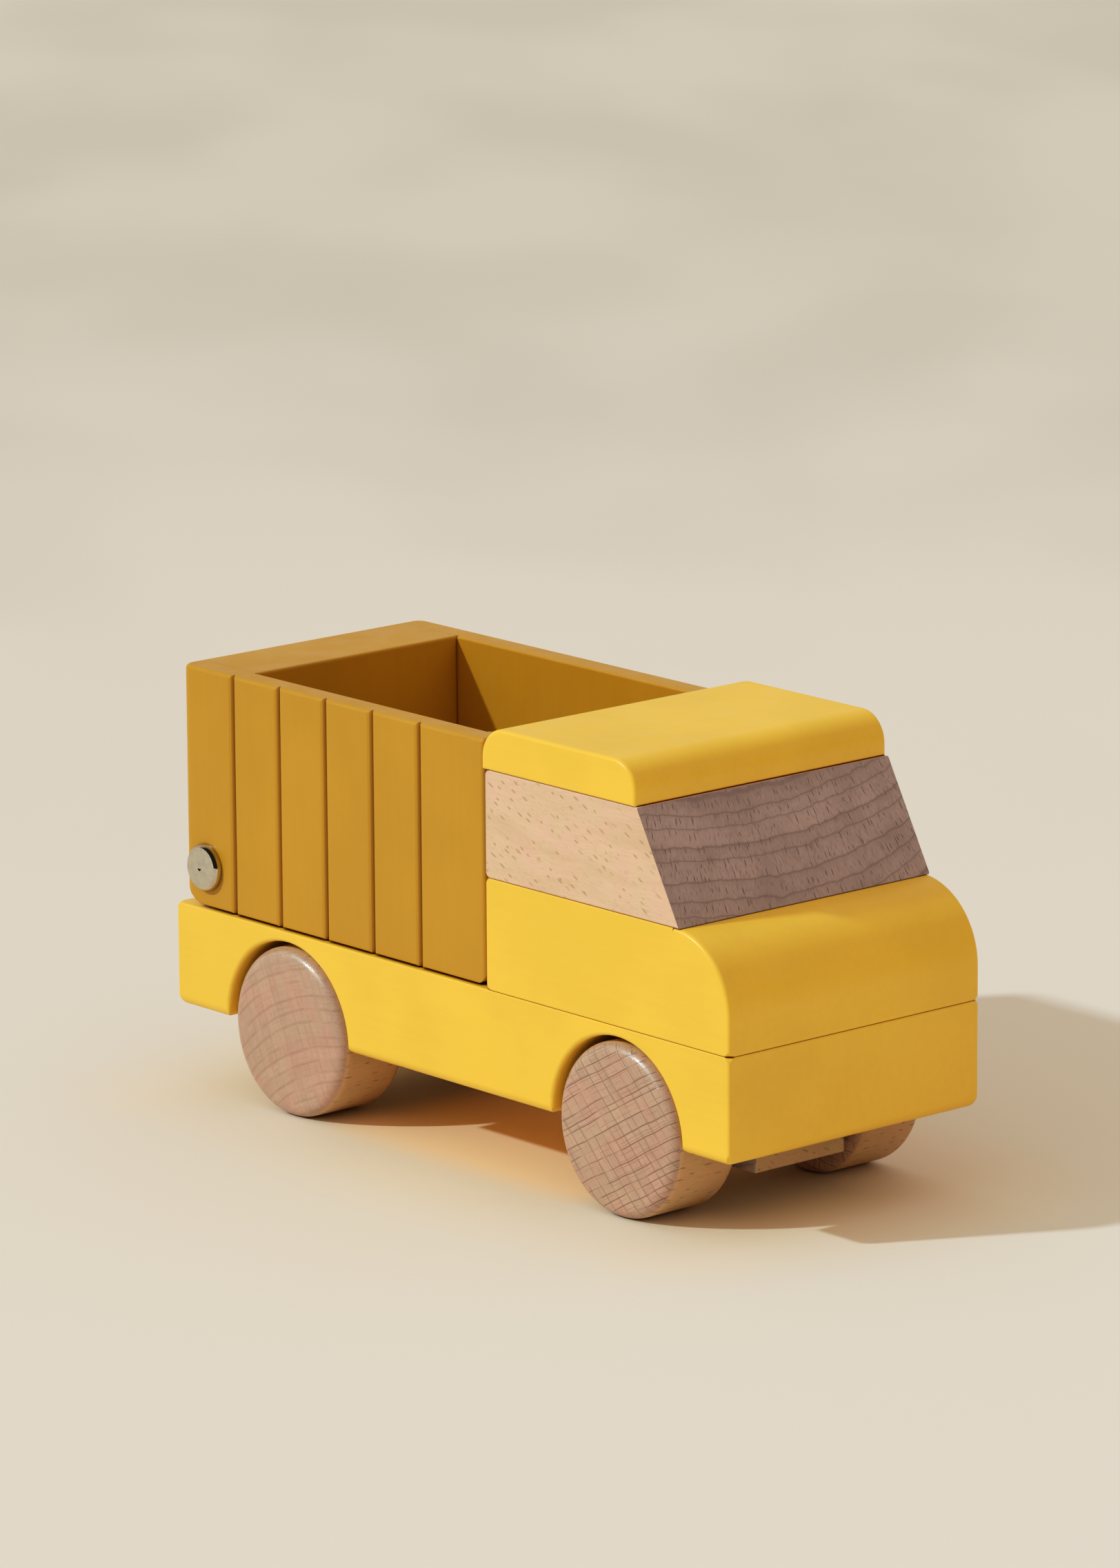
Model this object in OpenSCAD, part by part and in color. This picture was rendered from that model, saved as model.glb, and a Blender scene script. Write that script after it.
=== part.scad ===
// Wooden toy dump truck with a tipping bed.
// +X points forward, +Y to the truck's left and +Z up. The origin is on the ground,
// under the middle of the truck.

/* [Overall] */
// Length of the chassis, which is the length of the truck
truck_length = 190; // [180:1:200]
// Width of the chassis and the cab
truck_width = 74.4; // [70:0.2:80]
// Radius of the upright and outer edges on the painted blocks
edge_radius = 0.9; // [0.5:0.1:1.3]

/* [Chassis] */
// Height of the chassis underside above the ground
chassis_clearance = 19.2; // [18:0.1:21]
// Height of the chassis block
chassis_height = 24.4; // [23.6:0.1:28]
// Radius of the edges round the chassis underside
foot_radius = 2.3; // [1:0.1:2.6]

/* [Wheels] */
// Diameter of the wheels
wheel_diameter = 39.6; // [38:0.1:40]
// Width of the wheels
wheel_width = 19.2; // [16:0.1:20]
// Radius of the rounded wheel rims
wheel_rim_radius = 2.8; // [0.5:0.1:4]
// Gap between a wheel and its half-round arch
arch_gap = 1.5; // [1:0.1:1.6]
// Radius of the eased edges round the arches
arch_edge = 0.9; // [0.4:0.1:1.2]
// Distance of the front axle in front of the truck's middle
front_axle_x = 58.2; // [56:0.1:60]
// Distance of the rear axle behind the truck's middle
rear_axle_x = 55; // [53:0.1:57]
// Diameter of the wooden axles
axle_diameter = 8; // [6:0.5:9]
// Radial running clearance of the axles in their blocks
axle_clearance = 0.08; // [0.02:0.01:0.1]

/* [Axle blocks] */
// Length of an axle block, along the truck
axle_block_length = 38; // [34:0.5:38]
// Width of an axle block, across the truck
axle_block_width = 26.6; // [22:0.2:28]
// Height of an axle block, which has the axle at its middle
axle_block_height = 20.3; // [18:0.1:20.5]

/* [Cab] */
// Distance of the cab's back in front of the truck's middle
cab_rear_x = 14.8; // [14.6:0.1:18]
// Height of the hood block
hood_height = 25.6; // [24:0.1:30]
// Radius of the hood's rounded nose
nose_radius = 18; // [14:0.5:20]
// Distance of the windscreen's foot in front of the truck's middle
windscreen_foot_x = 79; // [77:0.5:82]
// Distance that the windscreen leans back over its height
windscreen_lean = 13.5; // [8:0.5:18]
// Height of the window block
window_height = 24.5; // [20:0.5:30]
// Height of the roof block
roof_height = 9.7; // [9.5:0.1:14]
// Radius of the roof's rounded front and back
roof_radius = 7; // [4:0.5:7]
// Distance that the windscreen's top stands in front of the roof
roof_setback = 0.6; // [0.2:0.1:3]
// Distance that the roof stands behind the window block
roof_overhang = 0.9; // [0:0.1:1]

/* [Dump bed] */
// Distance of the bed's back from the chassis's back end
bed_inset = 1.5; // [1:0.1:3]
// Distance of the bed's front in front of the truck's middle
bed_front_x = 13.4; // [12:0.1:13.4]
// Distance of each bed side inside the chassis side
bed_side_inset = 1.2; // [0.5:0.1:3]
// Height of the bed's rim above the ground
bed_top = 100; // [90:1:110]
// Gap between the bed's underside and the chassis
bed_gap = 0.4; // [0.2:0.1:0.8]
// Thickness of the side boards
side_board = 6; // [5:0.1:8]
// Thickness of the front board
front_board = 5; // [4:0.1:6]
// Thickness of the rear block
rear_block = 20.3; // [20:0.1:24]
// Thickness of the floor board
floor_board = 8; // [6:0.5:10]
// Number of grooves on each side
groove_count = 5; // [1:1:6]
// Distance of the first groove from the bed's back
groove_start = 18.6; // [16:0.1:22]
// Spacing of the grooves
groove_pitch = 16.45; // [14:0.1:16.8]
// Width of a groove at the surface
groove_width = 1.3; // [0.8:0.1:2]
// Depth of a groove
groove_depth = 1.2; // [0.8:0.1:2]
// Radius of the rear bottom corner, which passes over the chassis as the bed tips
tail_radius = 8; // [7.5:0.1:8.4]
// Radius of the bed's rear corners, seen from above
bed_corner_radius = 3; // [1.2:0.1:4]
// Radius of the front bottom edge of the bed
heel_radius = 3; // [1.5:0.1:4]

/* [Hinge] */
// Distance of the hinge pin from the bed's back
pivot_inset = 8.5; // [8.3:0.1:8.6]
// Height of the hinge pin above the ground
pivot_z = 53.3; // [52.8:0.1:53.4]
// Diameter of the steel hinge pin
pin_diameter = 4; // [3:0.5:5]
// Radial running clearance of the pin in the hinge block
pin_clearance = 0.06; // [0.02:0.01:0.1]
// Thickness of the hinge block, along the truck
hinge_block_length = 14; // [12:0.5:14]
// Width of the hinge block, across the truck
hinge_block_width = 29.4; // [20:0.2:34]
// Diameter of the domed caps on the pin's ends
cap_diameter = 11; // [9:0.5:12]
// Height of the caps
cap_height = 2.3; // [2:0.1:2.6]
// Radius of the caps' rounded edges
cap_edge = 1.7; // [1:0.1:1.8]

/* [Hidden] */
$fn = 96;

yellow = "#F2C343";
ochre = "#C6932F";
beech = "#E0BE96";
steel = "#C9C6C0";

slack = 1;                // how far a cutter runs past the face it opens
glue_gap = 0.05;          // radial gap round a glued dowel
small_edge = 0.4;         // edge radius of a painted block where it meets another
joint_corner = 1.4;       // radius of a painted block's corners where it meets another
foot_corner = 3;          // radius of the chassis's bottom corners
bare_edge = 0.4;          // edge radius of the bare wood blocks
window_edge = 0.8;        // radius of the window block's rear upright edges

half_length = truck_length / 2;
half_width = truck_width / 2;

chassis_top = chassis_clearance + chassis_height;
wheel_radius = wheel_diameter / 2;
arch_radius = wheel_radius + arch_gap;
arch_foot = 2.2;          // radius of the corners where an arch meets the underside
axle_radius = axle_diameter / 2;
wheel_inner_y = half_width - wheel_width;
wheel_bore_depth = 12;
axle_end_gap = 0.2;       // gap between an axle's end and the bottom of the wheel's bore
axle_half_length = wheel_inner_y + wheel_bore_depth - axle_end_gap;
pocket_clearance = 0.2;   // gap on each side of an axle block in its pocket
pocket_half_width = axle_block_width / 2 + pocket_clearance;
spacer_end_play = 0.3;
spacer_wall = 3;
spacer_radius = axle_radius + spacer_wall;

hood_top = chassis_top + hood_height;
window_top = hood_top + window_height;
windscreen_top_x = windscreen_foot_x - windscreen_lean;
roof_front_x = windscreen_top_x - roof_setback;
roof_rear_x = cab_rear_x - roof_overhang;
roof_length = roof_front_x - roof_rear_x;

cab_dowel_radius = 4;
cab_dowel_x = [27, 52];
cab_dowel_in_chassis = 12;
cab_dowel_in_roof = 5;
cab_dowel_foot = chassis_top - cab_dowel_in_chassis;
cab_dowel_head = window_top + cab_dowel_in_roof;

bed_rear_x = -half_length + bed_inset;
bed_length = bed_front_x - bed_rear_x;
bed_half_width = half_width - bed_side_inset;
bed_inner_half = bed_half_width - side_board;
bed_bottom = chassis_top + bed_gap;
bed_height = bed_top - bed_bottom;
bed_rim_radius = 1.1;     // edge radius round the rim, and down the bed's front corners
inner_rim_radius = 0.7;
groove_lip = 0.25;        // depth of the flared lips along each groove
rear_block_front_x = bed_rear_x + rear_block;
front_board_rear_x = bed_front_x - front_board;

pivot_x = bed_rear_x + pivot_inset;
pin_radius = pin_diameter / 2;
hinge_side_clearance = 0.3;
hinge_slot_clearance = 1; // radial gap between the hinge block's round head and the notch
slot_half_width = hinge_block_width / 2 + hinge_side_clearance;
knuckle_radius = hinge_block_length / 2;
slot_radius = knuckle_radius + hinge_slot_clearance;
cap_dome = 0.5;           // height that a cap's face bulges by
pin_end = 1.2;            // length of the pin inside each cap
hinge_dowel_radius = 3;
hinge_dowel_y = hinge_block_width / 4;
hinge_dowel_in_chassis = 10;
hinge_dowel_foot = chassis_top - hinge_dowel_in_chassis;
hinge_end_wall = 2;       // wood left between a dowel's head and the pin
hinge_dowel_head = pivot_z - pin_radius - hinge_end_wall;

// What is taken off an outer corner to round it, drawn outwards from [0, 0], which is
// the centre of the rounding.
module edge_waste(r) {
    difference() {
        square([r + slack, r + slack]);
        circle(r);
    }
}

// Rectangle with its low corner at the origin and one radius for each pair of corners.
module soft_rect(w, h, low_r, high_r) {
    difference() {
        square([w, h]);
        for (side = [0, 1])
            translate([side * w, 0])
                mirror([1 - side, 0]) {
                    translate([-low_r, low_r])
                        mirror([0, 1])
                            edge_waste(low_r);
                    translate([-high_r, h - high_r])
                        edge_waste(high_r);
                }
    }
}

// Extrudes a section drawn in X and Z across the truck, centred on y = 0.
module across(width) {
    translate([0, width / 2, 0])
        rotate([90, 0, 0])
            linear_extrude(width)
                children();
}

// Extrudes a section drawn in Y and Z along the truck, from x to x + length.
module along(x, length) {
    translate([x, 0, 0])
        rotate([90, 0, 90])
            linear_extrude(length)
                children();
}

// Block with soft edges, low corner at [x, -width / 2, z]. The edges round its foot,
// its top and its four corners can differ.
module soft_block(x, z, size, foot_r, top_r, corner_r) {
    intersection() {
        translate([x, 0, z])
            across(size[1])
                soft_rect(size[0], size[2], foot_r, top_r);
        along(x, size[0])
            translate([-size[1] / 2, z])
                soft_rect(size[1], size[2], foot_r, top_r);
        translate([x, -size[1] / 2, z])
            linear_extrude(size[2])
                soft_rect(size[0], size[1], corner_r, corner_r);
    }
}

// Rounds the four corners of a full-width block at its top or its foot, which is at
// height z. The rounding fades out along the edges beside each corner, and upright_r is
// the radius of the upright edges there. End 0 is the block's front and end 1 its rear.
module ease_corners(x, z, length, upright_r, r, is_top, ends = [0, 1]) {
    for (end = ends, side = [0, 1])
        translate([x + length / 2, 0, z])
            mirror([end, 0, 0])
                mirror([0, side, 0])
                    translate([length / 2 - upright_r, half_width - upright_r, 0])
                        rotate([90, 0, 45])
                            linear_extrude(4 * (upright_r + r), center = true)
                                mirror([0, is_top ? 0 : 1])
                                    translate([upright_r - r, -r])
                                        edge_waste(r);
}

// Cylinder across the truck, from y0 to y1.
module cross_cylinder(x, z, r, y0, y1) {
    translate([x, y1, z])
        rotate([90, 0, 0])
            cylinder(r = r, h = y1 - y0);
}

// Wheel arches on both sides, and the pocket between them for the axle block.
module axle_cutout(x) {
    for (side = [-1, 1])
        translate([x, side * (pocket_half_width + half_width + slack) / 2, wheel_radius])
            rotate([90, 0, 0])
                cylinder(r = arch_radius, h = half_width + slack - pocket_half_width, center = true);
    translate([x - axle_block_length / 2, -pocket_half_width - slack / 2, 0])
        cube([axle_block_length, 2 * pocket_half_width + slack,
              wheel_radius + axle_block_height / 2]);
}

// Eases the rim of both arches, and the corners at the arches' feet.
module arch_easing(x) {
    foot_rise = chassis_clearance + arch_foot - wheel_radius;
    foot_x = sqrt(arch_radius * arch_radius - foot_rise * foot_rise);
    for (side = [0, 1])
        mirror([0, side, 0])
            translate([x, 0, wheel_radius])
                rotate([-90, 0, 0])
                    rotate_extrude()
                        translate([arch_radius + arch_edge, half_width - arch_edge])
                            mirror([1, 0])
                                edge_waste(arch_edge);
    for (end = [0, 1], side = [-1, 1])
        translate([x, side * (pocket_half_width + half_width + slack) / 2, 0])
            mirror([end, 0, 0])
                across(half_width + slack - pocket_half_width)
                    translate([foot_x + arch_foot, chassis_clearance + arch_foot])
                        rotate(180)
                            edge_waste(arch_foot);
}

module hinge_dowel_rods(r) {
    for (y = [-hinge_dowel_y, hinge_dowel_y])
        translate([pivot_x, y, hinge_dowel_foot])
            cylinder(r = r, h = hinge_dowel_head - hinge_dowel_foot);
}

module cab_dowel_rods(r) {
    for (x = cab_dowel_x)
        translate([x, 0, cab_dowel_foot])
            cylinder(r = r, h = cab_dowel_head - cab_dowel_foot);
}

module chassis() {
    color(yellow)
        difference() {
            soft_block(-half_length, chassis_clearance,
                       [truck_length, truck_width, chassis_height],
                       foot_radius, small_edge, edge_radius);
            axle_cutout(front_axle_x);
            axle_cutout(-rear_axle_x);
            arch_easing(front_axle_x);
            arch_easing(-rear_axle_x);
            ease_corners(-half_length, chassis_clearance, truck_length,
                         edge_radius, foot_corner, false);
            ease_corners(-half_length, chassis_top, truck_length,
                         edge_radius, joint_corner, true);
            cab_dowel_rods(cab_dowel_radius + glue_gap);
            hinge_dowel_rods(hinge_dowel_radius + glue_gap);
        }
}

module axle_block(x) {
    color(beech)
        difference() {
            soft_block(x - axle_block_length / 2, wheel_radius - axle_block_height / 2,
                       [axle_block_length, axle_block_width, axle_block_height],
                       bare_edge, bare_edge, bare_edge);
            cross_cylinder(x, wheel_radius, axle_radius + axle_clearance,
                           -half_width, half_width);
        }
}

module front_axle_block() {
    axle_block(front_axle_x);
}

module rear_axle_block() {
    axle_block(-rear_axle_x);
}

// Section of the hood: square at the back, with one large radius over the nose.
module hood_section() {
    difference() {
        translate([cab_rear_x, chassis_top])
            square([half_length - cab_rear_x, hood_height]);
        translate([half_length - nose_radius, hood_top - nose_radius])
            edge_waste(nose_radius);
    }
}

// Rounds the side edges along an arc of a block's outline, from start to start + turn.
module round_arc_edge(x, z, arc_r, r, start, turn) {
    for (side = [0, 1])
        translate([x, 0, z])
            mirror([0, side, 0])
                rotate([90, 0, 0])
                    rotate([0, 0, start])
                        rotate_extrude(angle = turn)
                            translate([arc_r - r, half_width - r])
                                edge_waste(r);
}

module cab_hood() {
    color(yellow)
        difference() {
            intersection() {
                across(truck_width)
                    hood_section();
                soft_block(cab_rear_x, chassis_top,
                           [half_length - cab_rear_x, truck_width, hood_height],
                           small_edge, small_edge, edge_radius);
            }
            round_arc_edge(half_length - nose_radius, hood_top - nose_radius,
                           nose_radius, edge_radius, 0, 90);
            ease_corners(cab_rear_x, chassis_top, half_length - cab_rear_x,
                         edge_radius, joint_corner, false);
            ease_corners(cab_rear_x, hood_top, half_length - cab_rear_x,
                         edge_radius, joint_corner, true);
            cab_dowel_rods(cab_dowel_radius + glue_gap);
        }
}

module cab_window_block() {
    color(beech)
        difference() {
            intersection() {
                across(truck_width)
                    polygon([
                        [cab_rear_x, hood_top],
                        [windscreen_foot_x, hood_top],
                        [windscreen_top_x, window_top],
                        [cab_rear_x, window_top]
                    ]);
                soft_block(cab_rear_x, hood_top,
                           [2 * windscreen_foot_x, truck_width, window_height],
                           bare_edge, bare_edge, window_edge);
            }
            ease_corners(cab_rear_x, hood_top, windscreen_foot_x - cab_rear_x,
                         window_edge, joint_corner, false, [1]);
            ease_corners(cab_rear_x, window_top, windscreen_top_x - cab_rear_x,
                         window_edge, joint_corner, true, [1]);
            cab_dowel_rods(cab_dowel_radius + glue_gap);
        }
}

module cab_roof() {
    arc_z = window_top + roof_height - roof_radius;
    color(yellow)
        difference() {
            intersection() {
                across(truck_width)
                    translate([roof_rear_x, window_top])
                        soft_rect(roof_length, roof_height, small_edge, roof_radius);
                soft_block(roof_rear_x, window_top, [roof_length, truck_width, roof_height],
                           small_edge, edge_radius, edge_radius);
            }
            round_arc_edge(roof_front_x - roof_radius, arc_z, roof_radius, edge_radius, 0, 90);
            round_arc_edge(roof_rear_x + roof_radius, arc_z, roof_radius, edge_radius, 90, 90);
            cab_dowel_rods(cab_dowel_radius + glue_gap);
        }
}

module cab_dowels() {
    color(beech)
        cab_dowel_rods(cab_dowel_radius);
}

module hinge_block() {
    color(beech)
        difference() {
            across(hinge_block_width)
                union() {
                    translate([pivot_x - knuckle_radius, chassis_top])
                        square([hinge_block_length, pivot_z - chassis_top]);
                    translate([pivot_x, pivot_z])
                        circle(knuckle_radius);
                }
            cross_cylinder(pivot_x, pivot_z, pin_radius + pin_clearance,
                           -half_width, half_width);
            hinge_dowel_rods(hinge_dowel_radius + glue_gap);
        }
}

module hinge_block_dowels() {
    color(beech)
        hinge_dowel_rods(hinge_dowel_radius);
}

// Side view of the bed: a tail radius under the hinge, a heel radius in front and
// small radii at the rim.
module bed_outline() {
    difference() {
        translate([bed_rear_x, bed_bottom])
            soft_rect(bed_length, bed_height, heel_radius, bed_rim_radius);
        translate([bed_rear_x + tail_radius, bed_bottom + tail_radius])
            mirror([1, 0])
                mirror([0, 1])
                    edge_waste(tail_radius);
    }
}

// Vertical V grooves on the outside of the right side board.
module side_grooves() {
    for (i = [0 : groove_count - 1])
        translate([bed_rear_x + groove_start + i * groove_pitch, -bed_half_width, 0])
            linear_extrude(bed_top + slack)
                polygon([
                    [-groove_width, -slack],
                    [-groove_width, 0],
                    [-groove_width / 2, groove_lip],
                    [0, groove_depth],
                    [groove_width / 2, groove_lip],
                    [groove_width, 0],
                    [groove_width, -slack]
                ]);
}

// Eases the inner edges of the bed's rim.
module rim_easing() {
    for (side = [0, 1])
        mirror([0, side, 0])
            along(rear_block_front_x, front_board_rear_x - rear_block_front_x)
                translate([bed_inner_half + inner_rim_radius, bed_top - inner_rim_radius])
                    mirror([1, 0])
                        edge_waste(inner_rim_radius);
    across(2 * bed_inner_half)
        translate([front_board_rear_x + inner_rim_radius, bed_top - inner_rim_radius])
            mirror([1, 0])
                edge_waste(inner_rim_radius);
    across(2 * bed_inner_half)
        translate([rear_block_front_x - inner_rim_radius, bed_top - inner_rim_radius])
            edge_waste(inner_rim_radius);
}

// Rounds the rim over the bed's rear right corner.
module corner_rim() {
    translate([bed_rear_x + bed_corner_radius, -bed_half_width + bed_corner_radius, 0])
        rotate(180)
            rotate_extrude(angle = 90)
                translate([bed_corner_radius - bed_rim_radius, bed_top - bed_rim_radius])
                    edge_waste(bed_rim_radius);
}

module bed_side_right() {
    color(ochre)
        difference() {
            intersection() {
                translate([0, -bed_inner_half - side_board / 2, 0])
                    across(side_board)
                        bed_outline();
                translate([bed_front_x, -bed_half_width, 0])
                    linear_extrude(bed_top)
                        rotate(90)
                            soft_rect(2 * bed_half_width, bed_length,
                                      bed_rim_radius, bed_corner_radius);
                along(bed_rear_x, bed_length)
                    translate([-bed_half_width, bed_bottom])
                        soft_rect(2 * bed_half_width, bed_height, small_edge, bed_rim_radius);
            }
            side_grooves();
            rim_easing();
            corner_rim();
            cross_cylinder(pivot_x, pivot_z, pin_radius, -half_width, half_width);
        }
}

module bed_side_left() {
    mirror([0, 1, 0])
        bed_side_right();
}

// What lies between the side boards, from x0 to x1 and up to z1.
module bed_filling(x0, x1, z1) {
    intersection() {
        across(2 * bed_inner_half)
            bed_outline();
        translate([x0, -half_width, 0])
            cube([x1 - x0, truck_width, z1]);
    }
}

module bed_front_board() {
    color(ochre)
        difference() {
            bed_filling(front_board_rear_x, bed_front_x, bed_top);
            rim_easing();
        }
}

// The notch lets the hinge block swing from below the pin to behind it.
module bed_rear_block() {
    color(ochre)
        difference() {
            bed_filling(bed_rear_x, rear_block_front_x, bed_top);
            rim_easing();
            cross_cylinder(pivot_x, pivot_z, slot_radius, -slot_half_width, slot_half_width);
            translate([bed_rear_x - slack, -slot_half_width, 0])
                cube([pivot_inset + slack, 2 * slot_half_width, pivot_z + slot_radius]);
            translate([pivot_x - slack, -slot_half_width, 0])
                cube([slot_radius + slack, 2 * slot_half_width, pivot_z]);
            cross_cylinder(pivot_x, pivot_z, pin_radius, -half_width, half_width);
        }
}

module bed_floor() {
    color(ochre)
        bed_filling(rear_block_front_x, front_board_rear_x, bed_bottom + floor_board);
}

module hinge_pin() {
    color(steel)
        cross_cylinder(pivot_x, pivot_z, pin_radius,
                       -bed_half_width - pin_end, bed_half_width + pin_end);
}

// Push-on cap with a slightly domed face, rounded edges and a blind hole for the pin's end.
module hinge_cap_left() {
    cap_radius = cap_diameter / 2;
    dome_radius = (cap_radius * cap_radius + cap_dome * cap_dome) / (2 * cap_dome);
    color(steel)
        translate([pivot_x, bed_half_width, pivot_z])
            rotate([-90, 0, 0])
                difference() {
                    rotate_extrude()
                        intersection() {
                            difference() {
                                square([cap_radius, cap_height]);
                                translate([cap_radius - cap_edge, cap_height - cap_edge])
                                    edge_waste(cap_edge);
                            }
                            translate([0, cap_height - dome_radius])
                                circle(dome_radius);
                        }
                    translate([0, 0, -slack])
                        cylinder(r = pin_radius, h = slack + pin_end);
                }
}

module hinge_cap_right() {
    mirror([0, 1, 0])
        hinge_cap_left();
}

module axle_rod(x) {
    color(beech)
        cross_cylinder(x, wheel_radius, axle_radius, -axle_half_length, axle_half_length);
}

// Rings on the axle that keep the wheels clear of the axle block.
module spacers(x) {
    color(beech)
        for (side = [0, 1])
            mirror([0, side, 0])
                difference() {
                    cross_cylinder(x, wheel_radius, spacer_radius,
                                   axle_block_width / 2 + spacer_end_play, wheel_inner_y);
                    cross_cylinder(x, wheel_radius, axle_radius + glue_gap,
                                   0, half_width);
                }
}

// Solid wheel with rounded rims and a blind bore for the axle in its inner face.
module wheel_left(x) {
    rim_r = wheel_rim_radius;
    color(beech)
        translate([x, wheel_inner_y, wheel_radius])
            rotate([-90, 0, 0])
                difference() {
                    rotate_extrude()
                        union() {
                            square([wheel_radius - rim_r, wheel_width]);
                            translate([0, rim_r])
                                square([wheel_radius, wheel_width - 2 * rim_r]);
                            for (y = [rim_r, wheel_width - rim_r])
                                translate([wheel_radius - rim_r, y])
                                    circle(rim_r);
                        }
                    translate([0, 0, -slack])
                        cylinder(r = axle_radius + glue_gap, h = wheel_bore_depth + slack);
                }
}

module wheel_right(x) {
    mirror([0, 1, 0])
        wheel_left(x);
}

module front_axle() {
    axle_rod(front_axle_x);
}

module rear_axle() {
    axle_rod(-rear_axle_x);
}

module front_axle_spacers() {
    spacers(front_axle_x);
}

module rear_axle_spacers() {
    spacers(-rear_axle_x);
}

module wheel_front_right() {
    wheel_right(front_axle_x);
}

module wheel_front_left() {
    wheel_left(front_axle_x);
}

module wheel_rear_right() {
    wheel_right(-rear_axle_x);
}

module wheel_rear_left() {
    wheel_left(-rear_axle_x);
}

chassis();
front_axle_block();
rear_axle_block();
cab_hood();
cab_window_block();
cab_roof();
cab_dowels();
hinge_block();
hinge_block_dowels();
bed_side_right();
bed_side_left();
bed_front_board();
bed_rear_block();
bed_floor();
hinge_pin();
hinge_cap_right();
hinge_cap_left();
front_axle();
front_axle_spacers();
wheel_front_right();
wheel_front_left();
rear_axle();
rear_axle_spacers();
wheel_rear_right();
wheel_rear_left();
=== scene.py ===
"""Looks of the wooden toy dump truck: satin paint, bare beech and polished steel."""

import math
from collections import namedtuple

import bpy
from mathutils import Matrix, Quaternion, Vector


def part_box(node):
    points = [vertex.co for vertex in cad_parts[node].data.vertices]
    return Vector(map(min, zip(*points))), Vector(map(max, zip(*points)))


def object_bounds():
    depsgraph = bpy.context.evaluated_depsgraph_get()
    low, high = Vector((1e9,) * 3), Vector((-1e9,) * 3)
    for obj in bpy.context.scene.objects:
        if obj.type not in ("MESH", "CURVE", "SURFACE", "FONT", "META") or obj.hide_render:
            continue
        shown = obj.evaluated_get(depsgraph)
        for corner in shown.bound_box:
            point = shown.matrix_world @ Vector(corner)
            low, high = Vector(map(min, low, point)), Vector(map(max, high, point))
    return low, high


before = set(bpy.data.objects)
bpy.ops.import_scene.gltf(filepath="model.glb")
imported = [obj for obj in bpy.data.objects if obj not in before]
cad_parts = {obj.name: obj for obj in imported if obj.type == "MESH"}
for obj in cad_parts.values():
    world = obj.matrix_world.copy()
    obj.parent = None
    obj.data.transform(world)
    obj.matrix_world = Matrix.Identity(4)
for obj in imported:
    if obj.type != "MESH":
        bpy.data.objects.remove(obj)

cad_low, cad_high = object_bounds()

MM = 0.001

CAMERA_AZIMUTH = math.radians(48.98)
CAMERA_ELEVATION = math.radians(13.155)
CAMERA_ROLL = math.radians(-0.36)
CAMERA_DISTANCE = 1.872
CAMERA_LENS = 190.64
AIM_FROM_CENTRE = Vector((-0.0061, 0.0032, 0.0286))

# Sunlight travels towards the truck's front and left: per metre down, so far along X and Y.
SUN_SLOPE_X = 0.707
SUN_SLOPE_Y = 1.3
SUN_STRENGTH = 1.745
SUN_ANGLE = math.radians(2.2)
SUN_COLOUR = (0.833, 0.978, 1.0)
SKY_TOP = (0.73, 0.645, 0.545)
SKY_HORIZON = (0.38, 0.18, 0.035)
SKY_CLEAR = 0.48
ROOM_DARK = (0.035, 0.030, 0.028)
BACKDROP = (0.62, 0.55, 0.46)
WINDOW_GLOW = (1.5, 1.6, 1.7)
WINDOW_EDGE = math.cos(math.radians(17))
WINDOW_FULL = math.cos(math.radians(8))

YELLOW = (0.90, 0.575, 0.078)
OCHRE = (0.555, 0.300, 0.025)
WORN_PAINT = (0.95, 0.80, 0.55)
# Painted shade: what a colour is multiplied by down in joints and grooves, where little light
# reaches.
CREVICE_SHADE = (0.31, 0.145, 0.035)
BEECH = (0.745, 0.522, 0.370)
BEECH_PINK = (0.765, 0.508, 0.380)
BEECH_BAND = (0.665, 0.455, 0.308)
BEECH_FLECK = (0.45, 0.285, 0.155)
# Painted shade and warm bounce light on the wheel treads, which sit in the arches.
TREAD_SHADE_TINT = (0.84, 0.84, 0.68)
WINDSCREEN_WOOD = (0.462, 0.358, 0.352)
WINDSCREEN_LINE = (0.20, 0.145, 0.130)
WHEEL_WOOD = (0.508, 0.357, 0.275)
WHEEL_WOOD_PINK = (0.532, 0.340, 0.268)
WHEEL_LINE = (0.175, 0.110, 0.078)
# Painted shade and warm bounce light on the blocks under the chassis.
BLOCK_SHADE_TINT = (0.77, 0.83, 0.72)
STEEL = (0.64, 0.595, 0.505)
STEEL_SMUDGED = (0.55, 0.51, 0.44)
# The picture's tones: dark ones are deepened, as the camera did.
TONE_CURVE = ((0.0, 0.0), (0.02, 0.0079), (0.05, 0.026), (0.1, 0.064), (0.2, 0.157),
              (0.3, 0.266), (0.45, 0.45), (0.7, 0.705), (1.0, 1.0))
# Floor colour near the camera, and far behind, where it holds painted shade.
FLOOR_NEAR = (0.785, 0.755, 0.708)
FLOOR_FAR_SHADED = (0.655, 0.612, 0.560)
# Painted bounce light: warm patches on the floor about the truck, for light thrown down by the
# yellow paint; half length, half width and fading distance in mm, and tint.
FLOOR_BOUNCE_GLOWS = ((36.0, 28.0, 14.0, (1.22, 1.05, 0.88)),
               (84.0, 34.0, 46.0, (1.04, 0.965, 0.87)))
FLOOR_HALF = 6.0

# Flecks on long grain: their lean in degrees, the mm across and along that each one has to
# itself, their half width in mm, and how much they darken the wood.
Flecks = namedtuple("Flecks", "lean cell_across cell_along half_width depth")
SIDE_FLECKS = Flecks(25, 2.0, 3.6, 0.27, 0.68)
TREAD_FLECKS = Flecks(0, 2.2, 4.2, 0.19, 0.95)

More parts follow.
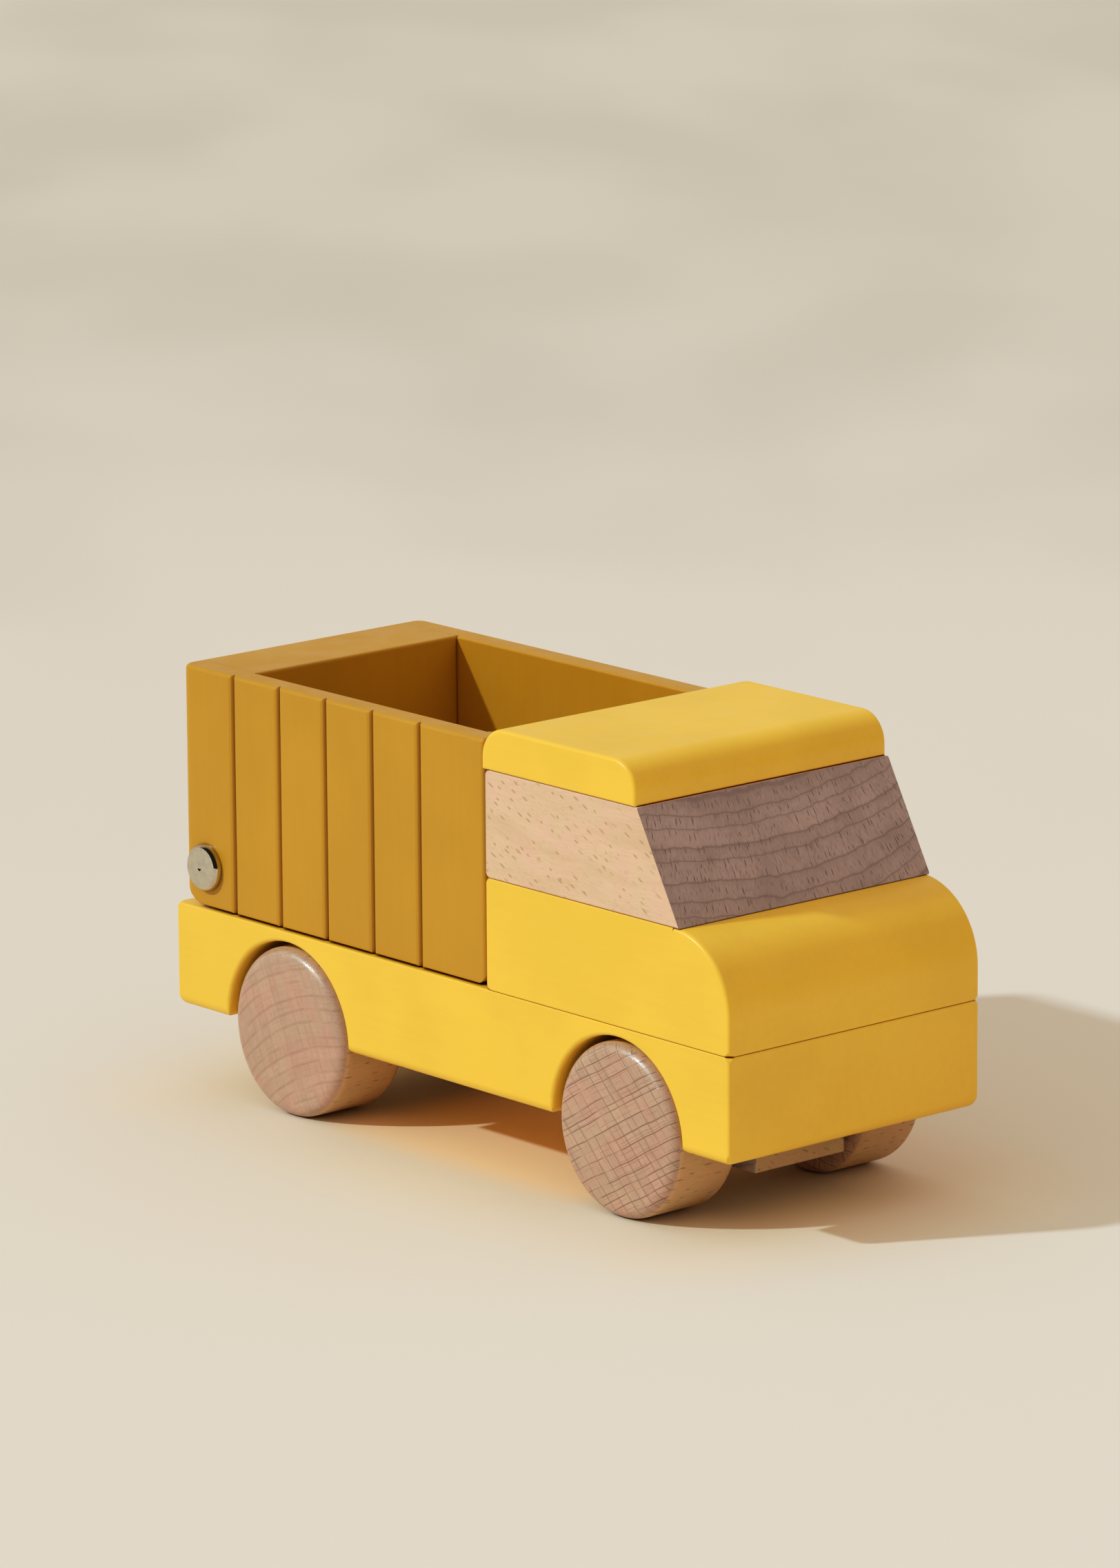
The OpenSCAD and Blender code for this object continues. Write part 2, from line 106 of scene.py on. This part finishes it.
# End grain of a wheel: direction in degrees and depth of its rays and of its rings, the
# rings' bend per mm, and how blurred both are.
WheelGrain = namedtuple("WheelGrain",
                        "ray_angle ray_depth ring_angle ring_depth ring_bend blur")
WHEEL_GRAINS = {
    "wheel_front_right": WheelGrain(29, 0.76, -45, 0.58, 0.0, 1.0),
    "wheel_rear_right": WheelGrain(-66, 0.10, 25, 0.21, 0.010, 2.8),
    "wheel_front_left": WheelGrain(75, 0.60, -12, 0.70, 0.003, 1.2),
    "wheel_rear_left": WheelGrain(140, 0.35, 55, 0.50, 0.006, 1.8),
}
RAY_SPACING = 2.4
RING_SPACING = 3.0


class Graph:
    """The emptied nodes of a material or a world, with short calls for the kinds used here."""

    def __init__(self, owner):
        owner.use_nodes = True
        self.owner = owner
        self.tree = owner.node_tree
        self.tree.nodes.clear()

    def add(self, kind, settings=None, **inputs):
        node = self.tree.nodes.new(kind)
        for key, value in (settings or {}).items():
            setattr(node, key, value)
        for key, value in inputs.items():
            self.feed(node.inputs[key.replace("_", " ")], value)
        return node

    def feed(self, socket, value):
        if isinstance(value, bpy.types.NodeSocket):
            self.tree.links.new(value, socket)
        elif isinstance(value, tuple) and socket.type == "RGBA":
            socket.default_value = (*value, 1.0)
        else:
            socket.default_value = value

    def math(self, operation, *values):
        node = self.add("ShaderNodeMath", {"operation": operation})
        for socket, value in zip(node.inputs, values):
            self.feed(socket, value)
        return node.outputs[0]

    def vector(self, operation, *values):
        node = self.add("ShaderNodeVectorMath", {"operation": operation})
        for socket, value in zip(node.inputs, values):
            self.feed(socket, value)
        return node.outputs["Value" if operation in ("DOT_PRODUCT", "LENGTH") else "Vector"]

    def split(self, vector):
        return self.add("ShaderNodeSeparateXYZ", Vector=vector).outputs

    def join(self, x, y, z):
        return self.add("ShaderNodeCombineXYZ", X=x, Y=y, Z=z).outputs[0]

    def noise(self, vector, scale, detail, roughness=0.5):
        node = self.add("ShaderNodeTexNoise", Vector=vector, Scale=scale, Detail=detail,
                        Roughness=roughness)
        return node.outputs["Fac"]

    def ramp(self, value, low, high, out_low=0.0, out_high=1.0):
        """Smooth step of value from low to high."""
        node = self.add("ShaderNodeMapRange", {"interpolation_type": "SMOOTHSTEP"})
        for name, number in zip(("Value", "From Min", "From Max", "To Min", "To Max"),
                                (value, low, high, out_low, out_high)):
            self.feed(node.inputs[name], number)
        return node.outputs["Result"]

    def mix(self, factor, a, b, blend="MIX"):
        node = self.add("ShaderNodeMix", {"data_type": "RGBA", "blend_type": blend})
        self.feed(node.inputs["Factor"], factor)
        self.feed(node.inputs["A"], a)
        self.feed(node.inputs["B"], b)
        return node.outputs["Result"]

    def tint(self, colour, filter_colour):
        """Colour as seen through a filter of another colour."""
        return self.mix(1.0, colour, filter_colour, "MULTIPLY")

    def shade(self, colour, amount):
        """Colour times a brightness."""
        return self.tint(colour, self.join(amount, amount, amount))

    def position(self):
        """Place in the part's own frame, in millimetres."""
        here = self.add("ShaderNodeTexCoord").outputs["Object"]
        return self.vector("MULTIPLY", here, (1 / MM,) * 3)

    def normal(self):
        """The surface's direction in the part's own frame."""
        return self.add("ShaderNodeTexCoord").outputs["Normal"]

    def bump(self, height, distance_mm, strength, normal=None):
        node = self.add("ShaderNodeBump", Strength=strength, Distance=distance_mm * MM,
                        Height=height)
        if normal is not None:
            self.feed(node.inputs["Normal"], normal)
        return node.outputs["Normal"]

    def paint_crevice_shade(self, colour, distance_mm):
        """Colour on open surfaces, with painted shade down in joints and grooves: darker and
        warmer there.
        """
        gap = self.add("ShaderNodeAmbientOcclusion", {"samples": 8},
                       Distance=distance_mm * MM)
        depth = self.ramp(gap.outputs["AO"], 0.25, 0.80, 1.0, 0.0)
        return self.mix(depth, colour, self.tint(colour, CREVICE_SHADE))

    def soft_edges(self, radius_mm):
        return self.add("ShaderNodeBevel", {"samples": 6}, Radius=radius_mm * MM).outputs[0]

    def finish(self, **inputs):
        shader = self.add("ShaderNodeBsdfPrincipled", **inputs)
        self.add("ShaderNodeOutputMaterial", Surface=shader.outputs[0])
        return self.owner


def ticks(graph, u, v, cell_u, cell_v, half_width, shortest, longest, seed):
    """Short strokes along v, one for each cell of cell_u by cell_v mm; 1 inside a stroke.

    Lengths are half-lengths as a share of the cell's height, and each stroke has its own.
    Returns the strokes and a random number that is the same over each cell.
    """
    place = graph.join(graph.math("DIVIDE", u, cell_u), graph.math("DIVIDE", v, cell_v), 0.0)
    place = graph.vector("ADD", place, (seed, seed * 1.7, 0.0))
    cell = graph.add("ShaderNodeTexVoronoi", {"voronoi_dimensions": "2D"}, Vector=place,
                     Scale=1.0, Randomness=1.0)
    offset = graph.split(graph.vector("SUBTRACT", place, cell.outputs["Position"]))
    chance = graph.split(cell.outputs["Color"])
    half_length = graph.ramp(chance[0], 0.0, 1.0, shortest, longest)
    across = graph.math("ABSOLUTE", offset[0])
    along = graph.math("DIVIDE", graph.math("ABSOLUTE", offset[1]), half_length)
    taper = graph.math("SUBTRACT", 1.0, graph.math("POWER", along, 2.0))
    width = graph.math("MULTIPLY", half_width / cell_u, graph.math("MAXIMUM", taper, 0.0))
    inside = graph.math("SUBTRACT", width, across)
    stroke = graph.ramp(inside, -0.35 * half_width / cell_u, 0.45 * half_width / cell_u)
    return graph.math("MULTIPLY", stroke, graph.ramp(taper, 0.0, 0.1)), chance[1]


def lines(graph, w, spacing, half_width, seed):
    """Thin lines at uneven steps of w mm; returns the lines and a random tone between them."""
    place = graph.math("ADD", graph.math("DIVIDE", w, spacing), seed)
    settings = {"voronoi_dimensions": "1D"}
    edge = graph.add("ShaderNodeTexVoronoi", {**settings, "feature": "DISTANCE_TO_EDGE"},
                     W=place, Scale=1.0, Randomness=1.0)
    cell = graph.add("ShaderNodeTexVoronoi", settings, W=place, Scale=1.0, Randomness=1.0)
    limit = half_width / spacing
    line = graph.ramp(edge.outputs["Distance"], 0.3 * limit, 1.4 * limit, 1.0, 0.0)
    return line, graph.split(cell.outputs["Color"])[0]


def painted(name, colour, grain_axis, seed, crevice_shade_mm=0.9):
    """Satin paint on wood: even colour, faint grain under it, slightly rubbed edges, and
    painted shade in joints and grooves.
    """
    graph = Graph(bpy.data.materials.new(name))
    place = graph.vector("ADD", graph.position(), (seed * 31.0, seed * 17.0, seed * 7.0))
    stretch = [0.55, 0.55, 0.55]
    stretch[grain_axis] = 0.045
    grain = graph.noise(graph.vector("MULTIPLY", place, tuple(stretch)), 1.0, 4.0, 0.6)
    cloud = graph.noise(place, 0.035, 2.0)
    peel = graph.noise(place, 0.9, 2.0, 0.4)
    speck = graph.add("ShaderNodeTexVoronoi", Vector=place, Scale=0.16, Randomness=1.0)
    dust = graph.ramp(speck.outputs["Distance"], 0.012, 0.035, 1.0, 0.0)

    tone = graph.ramp(cloud, 0.3, 0.7, 0.97, 1.03)
    tone = graph.math("MULTIPLY", tone, graph.ramp(grain, 0.35, 0.65, 0.992, 1.008))
    tone = graph.math("SUBTRACT", tone, graph.math("MULTIPLY", dust, 0.10))
    soft = graph.soft_edges(0.45)
    sharp = graph.add("ShaderNodeNewGeometry").outputs["Normal"]
    turn = graph.math("SUBTRACT", 1.0, graph.vector("DOT_PRODUCT", soft, sharp))
    rubbed = graph.math("MULTIPLY", graph.ramp(turn, 0.01, 0.16), graph.ramp(peel, 0.35, 0.65))
    paint = graph.shade(colour, tone)
    worn = graph.mix(0.35, colour, WORN_PAINT)
    paint = graph.mix(graph.math("MULTIPLY", rubbed, 0.45), paint, worn)
    # Painted shade: darker and warmer down in joints and grooves.
    paint = graph.paint_crevice_shade(paint, crevice_shade_mm)

    height = graph.math("ADD", graph.math("MULTIPLY", grain, 0.25),
                        graph.math("MULTIPLY", peel, 0.5))
    normal = graph.bump(height, 0.05, 0.35, soft)
    rough = graph.ramp(graph.noise(place, 0.12, 3.0), 0.3, 0.7, 0.36, 0.46)
    return graph.finish(Base_Color=paint, Roughness=rough, Normal=normal,
                        Specular_IOR_Level=0.42, Coat_Weight=0.12, Coat_Roughness=0.22)


def beech_side(graph, along, across, flecks, seed):
    """Long grain: soft bands along the grain, and flecks where the rays are cut."""
    lean = math.radians(flecks.lean)
    run = graph.math("SUBTRACT", graph.math("MULTIPLY", along, math.cos(lean)),
                     graph.math("MULTIPLY", across, math.sin(lean)))
    rise = graph.math("ADD", graph.math("MULTIPLY", along, math.sin(lean)),
                      graph.math("MULTIPLY", across, math.cos(lean)))
    bold, pick = ticks(graph, rise, run, flecks.cell_across, flecks.cell_along,
                       flecks.half_width, 0.15, 0.34, seed)
    faint, tint = ticks(graph, rise, run, flecks.cell_across * 0.55, flecks.cell_along * 0.6,
                        flecks.half_width * 0.5, 0.15, 0.45, seed + 9.3)
    bold = graph.math("MULTIPLY", bold, graph.ramp(pick, 0.30, 0.75))
    faint = graph.math("MULTIPLY", faint, graph.ramp(tint, 0.35, 0.9))
    wander = graph.noise(graph.join(along, across, seed), 0.09, 2.0)
    level = graph.math("ADD", across, graph.math("MULTIPLY", wander, 4.0))
    band = graph.noise(graph.join(graph.math("MULTIPLY", along, 0.035),
                                  graph.math("MULTIPLY", level, 0.20), seed), 1.0, 3.0, 0.5)
    fibre = graph.noise(graph.join(graph.math("MULTIPLY", along, 0.22),
                                   graph.math("MULTIPLY", level, 2.2), seed), 1.0, 3.0, 0.6)
    mottle = graph.noise(graph.join(along, across, seed + 4.0), 0.14, 2.0)
    wood = graph.mix(graph.ramp(mottle, 0.40, 0.60), BEECH, BEECH_PINK)
    wood = graph.mix(graph.ramp(band, 0.45, 0.75, 0.0, 0.7), wood, BEECH_BAND)
    wood = graph.shade(wood, graph.ramp(fibre, 0.25, 0.75, 0.96, 1.035))
    marks = graph.math("MAXIMUM", graph.math("MULTIPLY", bold, flecks.depth),
                       graph.math("MULTIPLY", faint, 0.4 * flecks.depth))
    return graph.mix(marks, wood, BEECH_FLECK), marks, fibre


def beech_end(graph, across, rise, seed):
    """End grain: wavy growth rings about a far centre, with short checks standing on them."""
    centre_across, centre_rise = -4.0, 230.0
    mean_radius = 150.0
    ring_spacing = 3.5
    side = graph.math("SUBTRACT", across, centre_across)
    down = graph.math("SUBTRACT", centre_rise, rise)
    span = graph.math("SQRT", graph.math("ADD", graph.math("MULTIPLY", side, side),
                                         graph.math("MULTIPLY", down, down)))
    around = graph.math("MULTIPLY", graph.math("ARCTAN2", side, down), mean_radius)
    swell = graph.noise(graph.join(graph.math("MULTIPLY", around, 0.060),
                                   graph.math("MULTIPLY", span, 0.030), seed), 1.0, 1.0, 0.4)
    ripple = graph.noise(graph.join(graph.math("MULTIPLY", around, 0.24),
                                    graph.math("MULTIPLY", span, 0.10), seed), 1.0, 2.0, 0.5)
    ring = graph.math("ADD", span, graph.math("MULTIPLY", swell, 4.2))
    ring = graph.math("ADD", ring, graph.math("MULTIPLY", ripple, 1.5))
    pace = graph.noise(graph.join(graph.math("MULTIPLY", ring, 0.16), seed, 0.0), 1.0, 1.0)
    year = graph.math("ADD", graph.math("DIVIDE", ring, ring_spacing),
                      graph.math("MULTIPLY", pace, 1.8))
    phase = graph.math("FRACT", year)
    line = graph.math("MAXIMUM", graph.ramp(phase, 0.02, 0.10, 1.0, 0.0),
                      graph.ramp(phase, 0.95, 0.99))
    haze = graph.math("MAXIMUM", graph.ramp(phase, 0.05, 0.40, 1.0, 0.0),
                      graph.ramp(phase, 0.86, 0.98))
    tone = graph.split(graph.add("ShaderNodeTexWhiteNoise", {"noise_dimensions": "1D"},
                                 W=graph.math("FLOOR", year)).outputs["Color"])[0]
    bold, chance = ticks(graph, around, ring, 1.5, 3.0, 0.13, 0.16, 0.40, seed + 3.1)
    check, pick = ticks(graph, around, ring, 0.95, 2.2, 0.09, 0.16, 0.44, seed + 5.9)
    hair, _ = ticks(graph, around, ring, 0.5, 1.5, 0.06, 0.2, 0.5, seed + 7.7)
    bold = graph.math("MULTIPLY", bold, graph.ramp(chance, 0.25, 0.75))
    check = graph.math("MULTIPLY", check, graph.ramp(pick, 0.15, 0.75))
    fibre = graph.noise(graph.join(graph.math("MULTIPLY", around, 2.4),
                                   graph.math("MULTIPLY", ring, 0.45), seed), 1.0, 3.0, 0.6)
    patch = graph.noise(graph.join(graph.math("MULTIPLY", around, 0.10),
                                   graph.math("MULTIPLY", ring, 0.10), seed), 1.0, 2.0)
    wood = graph.shade(WINDSCREEN_WOOD, graph.ramp(tone, 0.0, 1.0, 0.95, 1.05))
    wood = graph.shade(wood, graph.ramp(patch, 0.3, 0.7, 0.93, 1.07))
    wood = graph.shade(wood, graph.ramp(fibre, 0.25, 0.75, 0.93, 1.06))
    marks = graph.math("ADD", graph.math("MULTIPLY", line, 0.34),
                       graph.math("MULTIPLY", haze, 0.13))
    marks = graph.math("MAXIMUM", marks, graph.math("MULTIPLY", bold, 0.92))
    marks = graph.math("MAXIMUM", marks, graph.math("MULTIPLY", check, 0.62))
    marks = graph.math("MAXIMUM", marks, graph.math("MULTIPLY", hair, 0.26))
    return graph.mix(marks, wood, WINDSCREEN_LINE), marks, fibre


def bare_beech(graph, side, end, on_end, roughness, sheen=0.32):
    """Puts long and end grain together by on_end, which is 1 on end grain.

    side and end each hold a colour, how marked it is and how fibrous.
    """
    colour = graph.mix(on_end, side[0], end[0])
    marks = graph.mix(on_end, side[1], end[1])
    fibre = graph.mix(on_end, side[2], end[2])
    # Painted shade: darker and warmer down in joints and grooves.
    colour = graph.paint_crevice_shade(colour, 0.7)
    height = graph.math("SUBTRACT", graph.math("MULTIPLY", fibre, 0.35), marks)
    normal = graph.bump(height, 0.06, 0.6, graph.soft_edges(0.35))
    return graph.finish(Base_Color=colour, Roughness=roughness, Normal=normal,
                        Specular_IOR_Level=sheen)


def beech_block(name, grain_axis, seed, tint=(1.0, 1.0, 1.0)):
    """Bare beech block whose grain runs along X (0) or Y (1), with its long grain tinted; a
    tint other than white is painted shade.
    """
    graph = Graph(bpy.data.materials.new(name))
    place = graph.split(graph.position())
    facing = graph.split(graph.normal())
    along = place[grain_axis]
    other = 1 - grain_axis
    upright = graph.ramp(graph.math("ABSOLUTE", facing[2]), 0.5, 0.8)
    sideways = graph.mix(upright, graph.join(place[2], 0.0, 0.0),
                         graph.join(place[other], 0.0, 0.0))
    across = graph.split(sideways)[0]
    side = beech_side(graph, along, across, SIDE_FLECKS, seed)
    # Painted shade and warm bounce light, where the tint is not white.
    side = (graph.tint(side[0], tint), side[1], side[2])
    end = beech_end(graph, place[other], place[2], seed)
    on_end = graph.ramp(graph.math("ABSOLUTE", facing[grain_axis]), 0.45, 0.60)
    return bare_beech(graph, side, end, on_end, 0.56)


def wheel_lines(graph, x, z, angle, bend, spacing, blur, seed, index):
    """One set of lines across a wheel's face, the tones between them and the finer grain."""
    lean = math.radians(angle)
    run = graph.math("ADD", graph.math("MULTIPLY", x, math.cos(lean)),
                     graph.math("MULTIPLY", z, math.sin(lean)))
    rise = graph.math("SUBTRACT", graph.math("MULTIPLY", z, math.cos(lean)),
                      graph.math("MULTIPLY", x, math.sin(lean)))
    wander = graph.noise(graph.join(run, rise, seed + index), 0.055, 2.0)
    rise = graph.math("ADD", rise, graph.math("MULTIPLY", wander, 1.9))
    bow = graph.math("MULTIPLY", graph.math("MULTIPLY", run, run), bend)
    rise = graph.math("ADD", rise, bow)
    line, tone = lines(graph, rise, spacing, 0.13 * blur, seed * 3 + index * 17)
    broken = graph.noise(graph.join(graph.math("MULTIPLY", run, 0.12),
                                    graph.math("MULTIPLY", rise, 0.45), seed), 1.0, 2.0)
    line = graph.math("MULTIPLY", line, graph.ramp(broken, 0.36, 0.52, 0.20, 1.0))
    hair, _ = lines(graph, rise, spacing * 0.5, 0.075 * blur, seed + 5 + index)
    hair = graph.math("MULTIPLY", hair, graph.ramp(broken, 0.46, 0.58, 0.0, 0.55))
    grain = graph.noise(graph.join(graph.math("MULTIPLY", run, 0.35),
                                   graph.math("MULTIPLY", rise, 2.2), seed), 1.0, 3.0)
    return graph.math("MAXIMUM", line, hair), tone, grain


def wheel_end(graph, x, z, look, seed):
    """Sawn end grain of a wheel: growth rings, rays across them and the patches between."""
    ray, ray_tone, ray_grain = wheel_lines(graph, x, z, look.ray_angle, 0.0, RAY_SPACING,
                                           look.blur, seed, 0)
    ring, ring_tone, ring_grain = wheel_lines(graph, x, z, look.ring_angle, look.ring_bend,
                                              RING_SPACING, look.blur, seed, 1)
    marks = graph.math("MAXIMUM", graph.math("MULTIPLY", ray, look.ray_depth),
                       graph.math("MULTIPLY", ring, look.ring_depth))
    patches = graph.math("ADD", ray_tone, ring_tone)
    fine = graph.math("MULTIPLY", graph.math("ADD", ray_grain, ring_grain), 0.5)
    cloud = graph.noise(graph.join(x, z, seed), 0.11, 3.0)
    wood = graph.mix(graph.ramp(cloud, 0.40, 0.60), WHEEL_WOOD, WHEEL_WOOD_PINK)
    wood = graph.shade(wood, graph.ramp(patches, 0.2, 1.8, 0.96, 1.05))
    wood = graph.shade(wood, graph.ramp(fine, 0.30, 0.70, 0.95, 1.05))
    return graph.mix(marks, wood, WHEEL_LINE), marks, fine


def beech_wheel(name, centre, look, seed):
    """Wheel turned along the grain, so its face is end grain and its tread is long grain."""
    graph = Graph(bpy.data.materials.new(name))
    place = graph.vector("SUBTRACT", graph.position(), tuple(c / MM for c in centre))
    x, y, z = graph.split(place)
    facing = graph.split(graph.normal())
    radius = graph.math("SQRT", graph.math("ADD", graph.math("MULTIPLY", x, x),
                                           graph.math("MULTIPLY", z, z)))
    round_tread = graph.math("MULTIPLY", graph.math("ARCTAN2", z, x), radius)
    side = beech_side(graph, y, round_tread, TREAD_FLECKS, seed)
    # Painted shade and warm bounce light on the tread.
    side = (graph.tint(side[0], TREAD_SHADE_TINT), side[1], side[2])
    end = wheel_end(graph, x, z, look, seed)
    turned = graph.math("ABSOLUTE", facing[1])
    on_end = graph.ramp(turned, 0.35, 0.60)
    rim = graph.math("MULTIPLY", graph.ramp(turned, 0.15, 0.45),
                     graph.ramp(turned, 0.95, 0.998, 1.0, 0.0))
    sparkle = graph.ramp(graph.noise(place, 2.6, 3.0, 0.7), 0.40, 0.60, 0.50, 0.24)
    rough = graph.mix(rim, (0.46,) * 3, graph.join(sparkle, sparkle, sparkle))
    sheen = graph.ramp(rim, 0.0, 1.0, 0.32, 0.75)
    return bare_beech(graph, side, end, on_end, graph.split(rough)[0], sheen)


def steel():
    """Polished plated steel with faint handling marks."""
    graph = Graph(bpy.data.materials.new("steel"))
    place = graph.position()
    smudge = graph.noise(place, 0.5, 4.0, 0.6)
    fine = graph.noise(graph.vector("MULTIPLY", place, (0.6, 1.0, 6.0)), 1.0, 3.0)
    rough = graph.ramp(smudge, 0.3, 0.75, 0.06, 0.16)
    normal = graph.bump(fine, 0.004, 0.4)
    tint = graph.mix(graph.ramp(smudge, 0.35, 0.7), STEEL, STEEL_SMUDGED)
    return graph.finish(Base_Color=tint, Metallic=1.0, Roughness=rough, Normal=normal)


def floor_material():
    """Pale matt floor with painted warm bounce light from the paint above it, and painted
    shade far behind the truck.
    """
    graph = Graph(bpy.data.materials.new("pale_floor"))
    place = graph.position()
    toward = (-math.sin(CAMERA_AZIMUTH), math.cos(CAMERA_AZIMUTH), 0.0)
    beside = (math.cos(CAMERA_AZIMUTH), math.sin(CAMERA_AZIMUTH), 0.0)
    far = graph.vector("DOT_PRODUCT", place, toward)
    wide = graph.vector("DOT_PRODUCT", place, beside)
    # Painted shade: soft dappled shadows far behind the truck, and the floor darker the
    # farther it lies behind.
    dappled_shade = graph.noise(graph.join(graph.math("MULTIPLY", wide, 0.006),
                                    graph.math("MULTIPLY", far, 0.0028), 1.0), 1.0, 2.0, 0.45)
    behind = graph.ramp(far, 100.0, 900.0)
    depth = graph.ramp(dappled_shade, 0.35, 0.65, -0.05, 0.05)
    base = graph.mix(graph.ramp(far, -100.0, 1300.0), FLOOR_NEAR, FLOOR_FAR_SHADED)
    base = graph.shade(base, graph.math("ADD", 1.0, graph.math("MULTIPLY", behind, depth)))
    spread = graph.vector("ABSOLUTE", place)
    # Painted bounce light: warm patches on the floor under and about the truck.
    for half_length, half_width, reach, tint in FLOOR_BOUNCE_GLOWS:
        past = graph.vector("SUBTRACT", spread, (half_length, half_width, 0.0))
        past = graph.vector("MAXIMUM", past, (0.0, 0.0, 0.0))
        glow = graph.ramp(graph.vector("LENGTH", past), 0.0, reach, 1.0, 0.0)
        base = graph.mix(glow, base, graph.tint(base, tint))
    fine = graph.noise(place, 0.4, 3.0)
    return graph.finish(Base_Color=base, Roughness=0.8, Normal=graph.bump(fine, 0.02, 0.3),
                        Specular_IOR_Level=0.15)


def dress(node, material):
    """Gives a CAD node one material in every slot."""
    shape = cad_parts[node]
    shape.data.materials.clear()
    shape.data.materials.append(material)


def middle(node):
    low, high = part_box(node)
    return (low + high) / 2


def dress_truck():
    x_axis, y_axis, z_axis = 0, 1, 2
    for seed, node in enumerate(("chassis", "cab_hood", "cab_roof")):
        dress(node, painted(node + "_paint", YELLOW, x_axis, seed))
    bed_paint = painted("bed_paint", OCHRE, z_axis, 5, 1.5)
    for node in ("bed_side_right", "bed_side_left", "bed_front_board", "bed_rear_block",
                 "bed_floor"):
        dress(node, bed_paint)
    dress("cab_window_block", beech_block("window_beech", x_axis, 1.3))
    block_wood = beech_block("block_beech", y_axis, 4.1, BLOCK_SHADE_TINT)
    for node in ("front_axle_block", "rear_axle_block", "hinge_block", "front_axle",
                 "rear_axle", "front_axle_spacers", "rear_axle_spacers"):
        dress(node, block_wood)
    dowel_wood = beech_block("dowel_beech", x_axis, 6.7)
    for node in ("cab_dowels", "hinge_block_dowels"):
        dress(node, dowel_wood)
    for seed, (node, look) in enumerate(WHEEL_GRAINS.items()):
        dress(node, beech_wheel(node + "_beech", middle(node), look, seed + 0.37))
    metal = steel()
    for node in ("hinge_pin", "hinge_cap_right", "hinge_cap_left"):
        dress(node, metal)


def make_floor():
    mesh = bpy.data.meshes.new("floor")
    corners = [(x, y, 0) for x, y in ((-FLOOR_HALF, -FLOOR_HALF), (FLOOR_HALF, -FLOOR_HALF),
                                      (FLOOR_HALF, FLOOR_HALF), (-FLOOR_HALF, FLOOR_HALF))]
    mesh.from_pydata(corners, [], [(0, 1, 2, 3)])
    mesh.materials.append(floor_material())
    floor = bpy.data.objects.new("floor", mesh)
    floor.location.z = cad_low.z
    bpy.context.scene.collection.objects.link(floor)


def make_lights():
    sun = bpy.data.lights.new("key", "SUN")
    sun.energy = SUN_STRENGTH
    sun.angle = SUN_ANGLE
    sun.color = SUN_COLOUR
    lamp = bpy.data.objects.new("key", sun)
    lamp.rotation_mode = "QUATERNION"
    lamp.rotation_quaternion = Vector((SUN_SLOPE_X, SUN_SLOPE_Y, -1)).to_track_quat("-Z", "Y")
    bpy.context.scene.collection.objects.link(lamp)
    bpy.context.scene.world = make_world()


def make_world():
    """Warm fill that fades towards the horizon; shiny surfaces see a dim room and a window."""
    graph = Graph(bpy.data.worlds.new("studio"))
    look = graph.vector("NORMALIZE", graph.add("ShaderNodeTexCoord").outputs["Generated"])
    height = graph.split(look)[2]
    sky = graph.mix(graph.ramp(height, 0.0, SKY_CLEAR), SKY_HORIZON, SKY_TOP)
    to_sun = Vector((-SUN_SLOPE_X, -SUN_SLOPE_Y, 1.0)).normalized()
    glow = graph.ramp(graph.vector("DOT_PRODUCT", look, tuple(to_sun)),
                      WINDOW_EDGE, WINDOW_FULL)
    away = (-math.sin(CAMERA_AZIMUTH), math.cos(CAMERA_AZIMUTH), 0.0)
    behind = graph.ramp(graph.vector("DOT_PRODUCT", look, away), 0.15, 0.55)
    room = graph.mix(glow, graph.mix(behind, ROOM_DARK, BACKDROP), WINDOW_GLOW)
    shiny = graph.add("ShaderNodeLightPath").outputs["Is Glossy Ray"]
    light = graph.add("ShaderNodeBackground", Color=graph.mix(shiny, sky, room))
    graph.add("ShaderNodeOutputWorld", Surface=light.outputs[0])
    return graph.owner


def make_camera():
    data = bpy.data.cameras.new("camera")
    data.lens = CAMERA_LENS
    data.clip_start = 0.05
    data.clip_end = 50.0
    camera = bpy.data.objects.new("camera", data)
    back = Vector((math.sin(CAMERA_AZIMUTH) * math.cos(CAMERA_ELEVATION),
                   -math.cos(CAMERA_AZIMUTH) * math.cos(CAMERA_ELEVATION),
                   math.sin(CAMERA_ELEVATION)))
    aim = (cad_low + cad_high) / 2 + AIM_FROM_CENTRE
    camera.location = aim + back * CAMERA_DISTANCE
    camera.rotation_mode = "QUATERNION"
    level = (-back).to_track_quat("-Z", "Y")
    camera.rotation_quaternion = level @ Quaternion((0, 0, 1), CAMERA_ROLL)
    bpy.context.scene.collection.objects.link(camera)
    bpy.context.scene.camera = camera


def set_tones():
    view = bpy.context.scene.view_settings
    view.view_transform = "Standard"
    view.use_curve_mapping = True
    tones = view.curve_mapping.curves[3]
    for place, level in TONE_CURVE[1:-1]:
        tones.points.new(place, level)
    view.curve_mapping.update()


dress_truck()
make_floor()
make_lights()
make_camera()
set_tones()
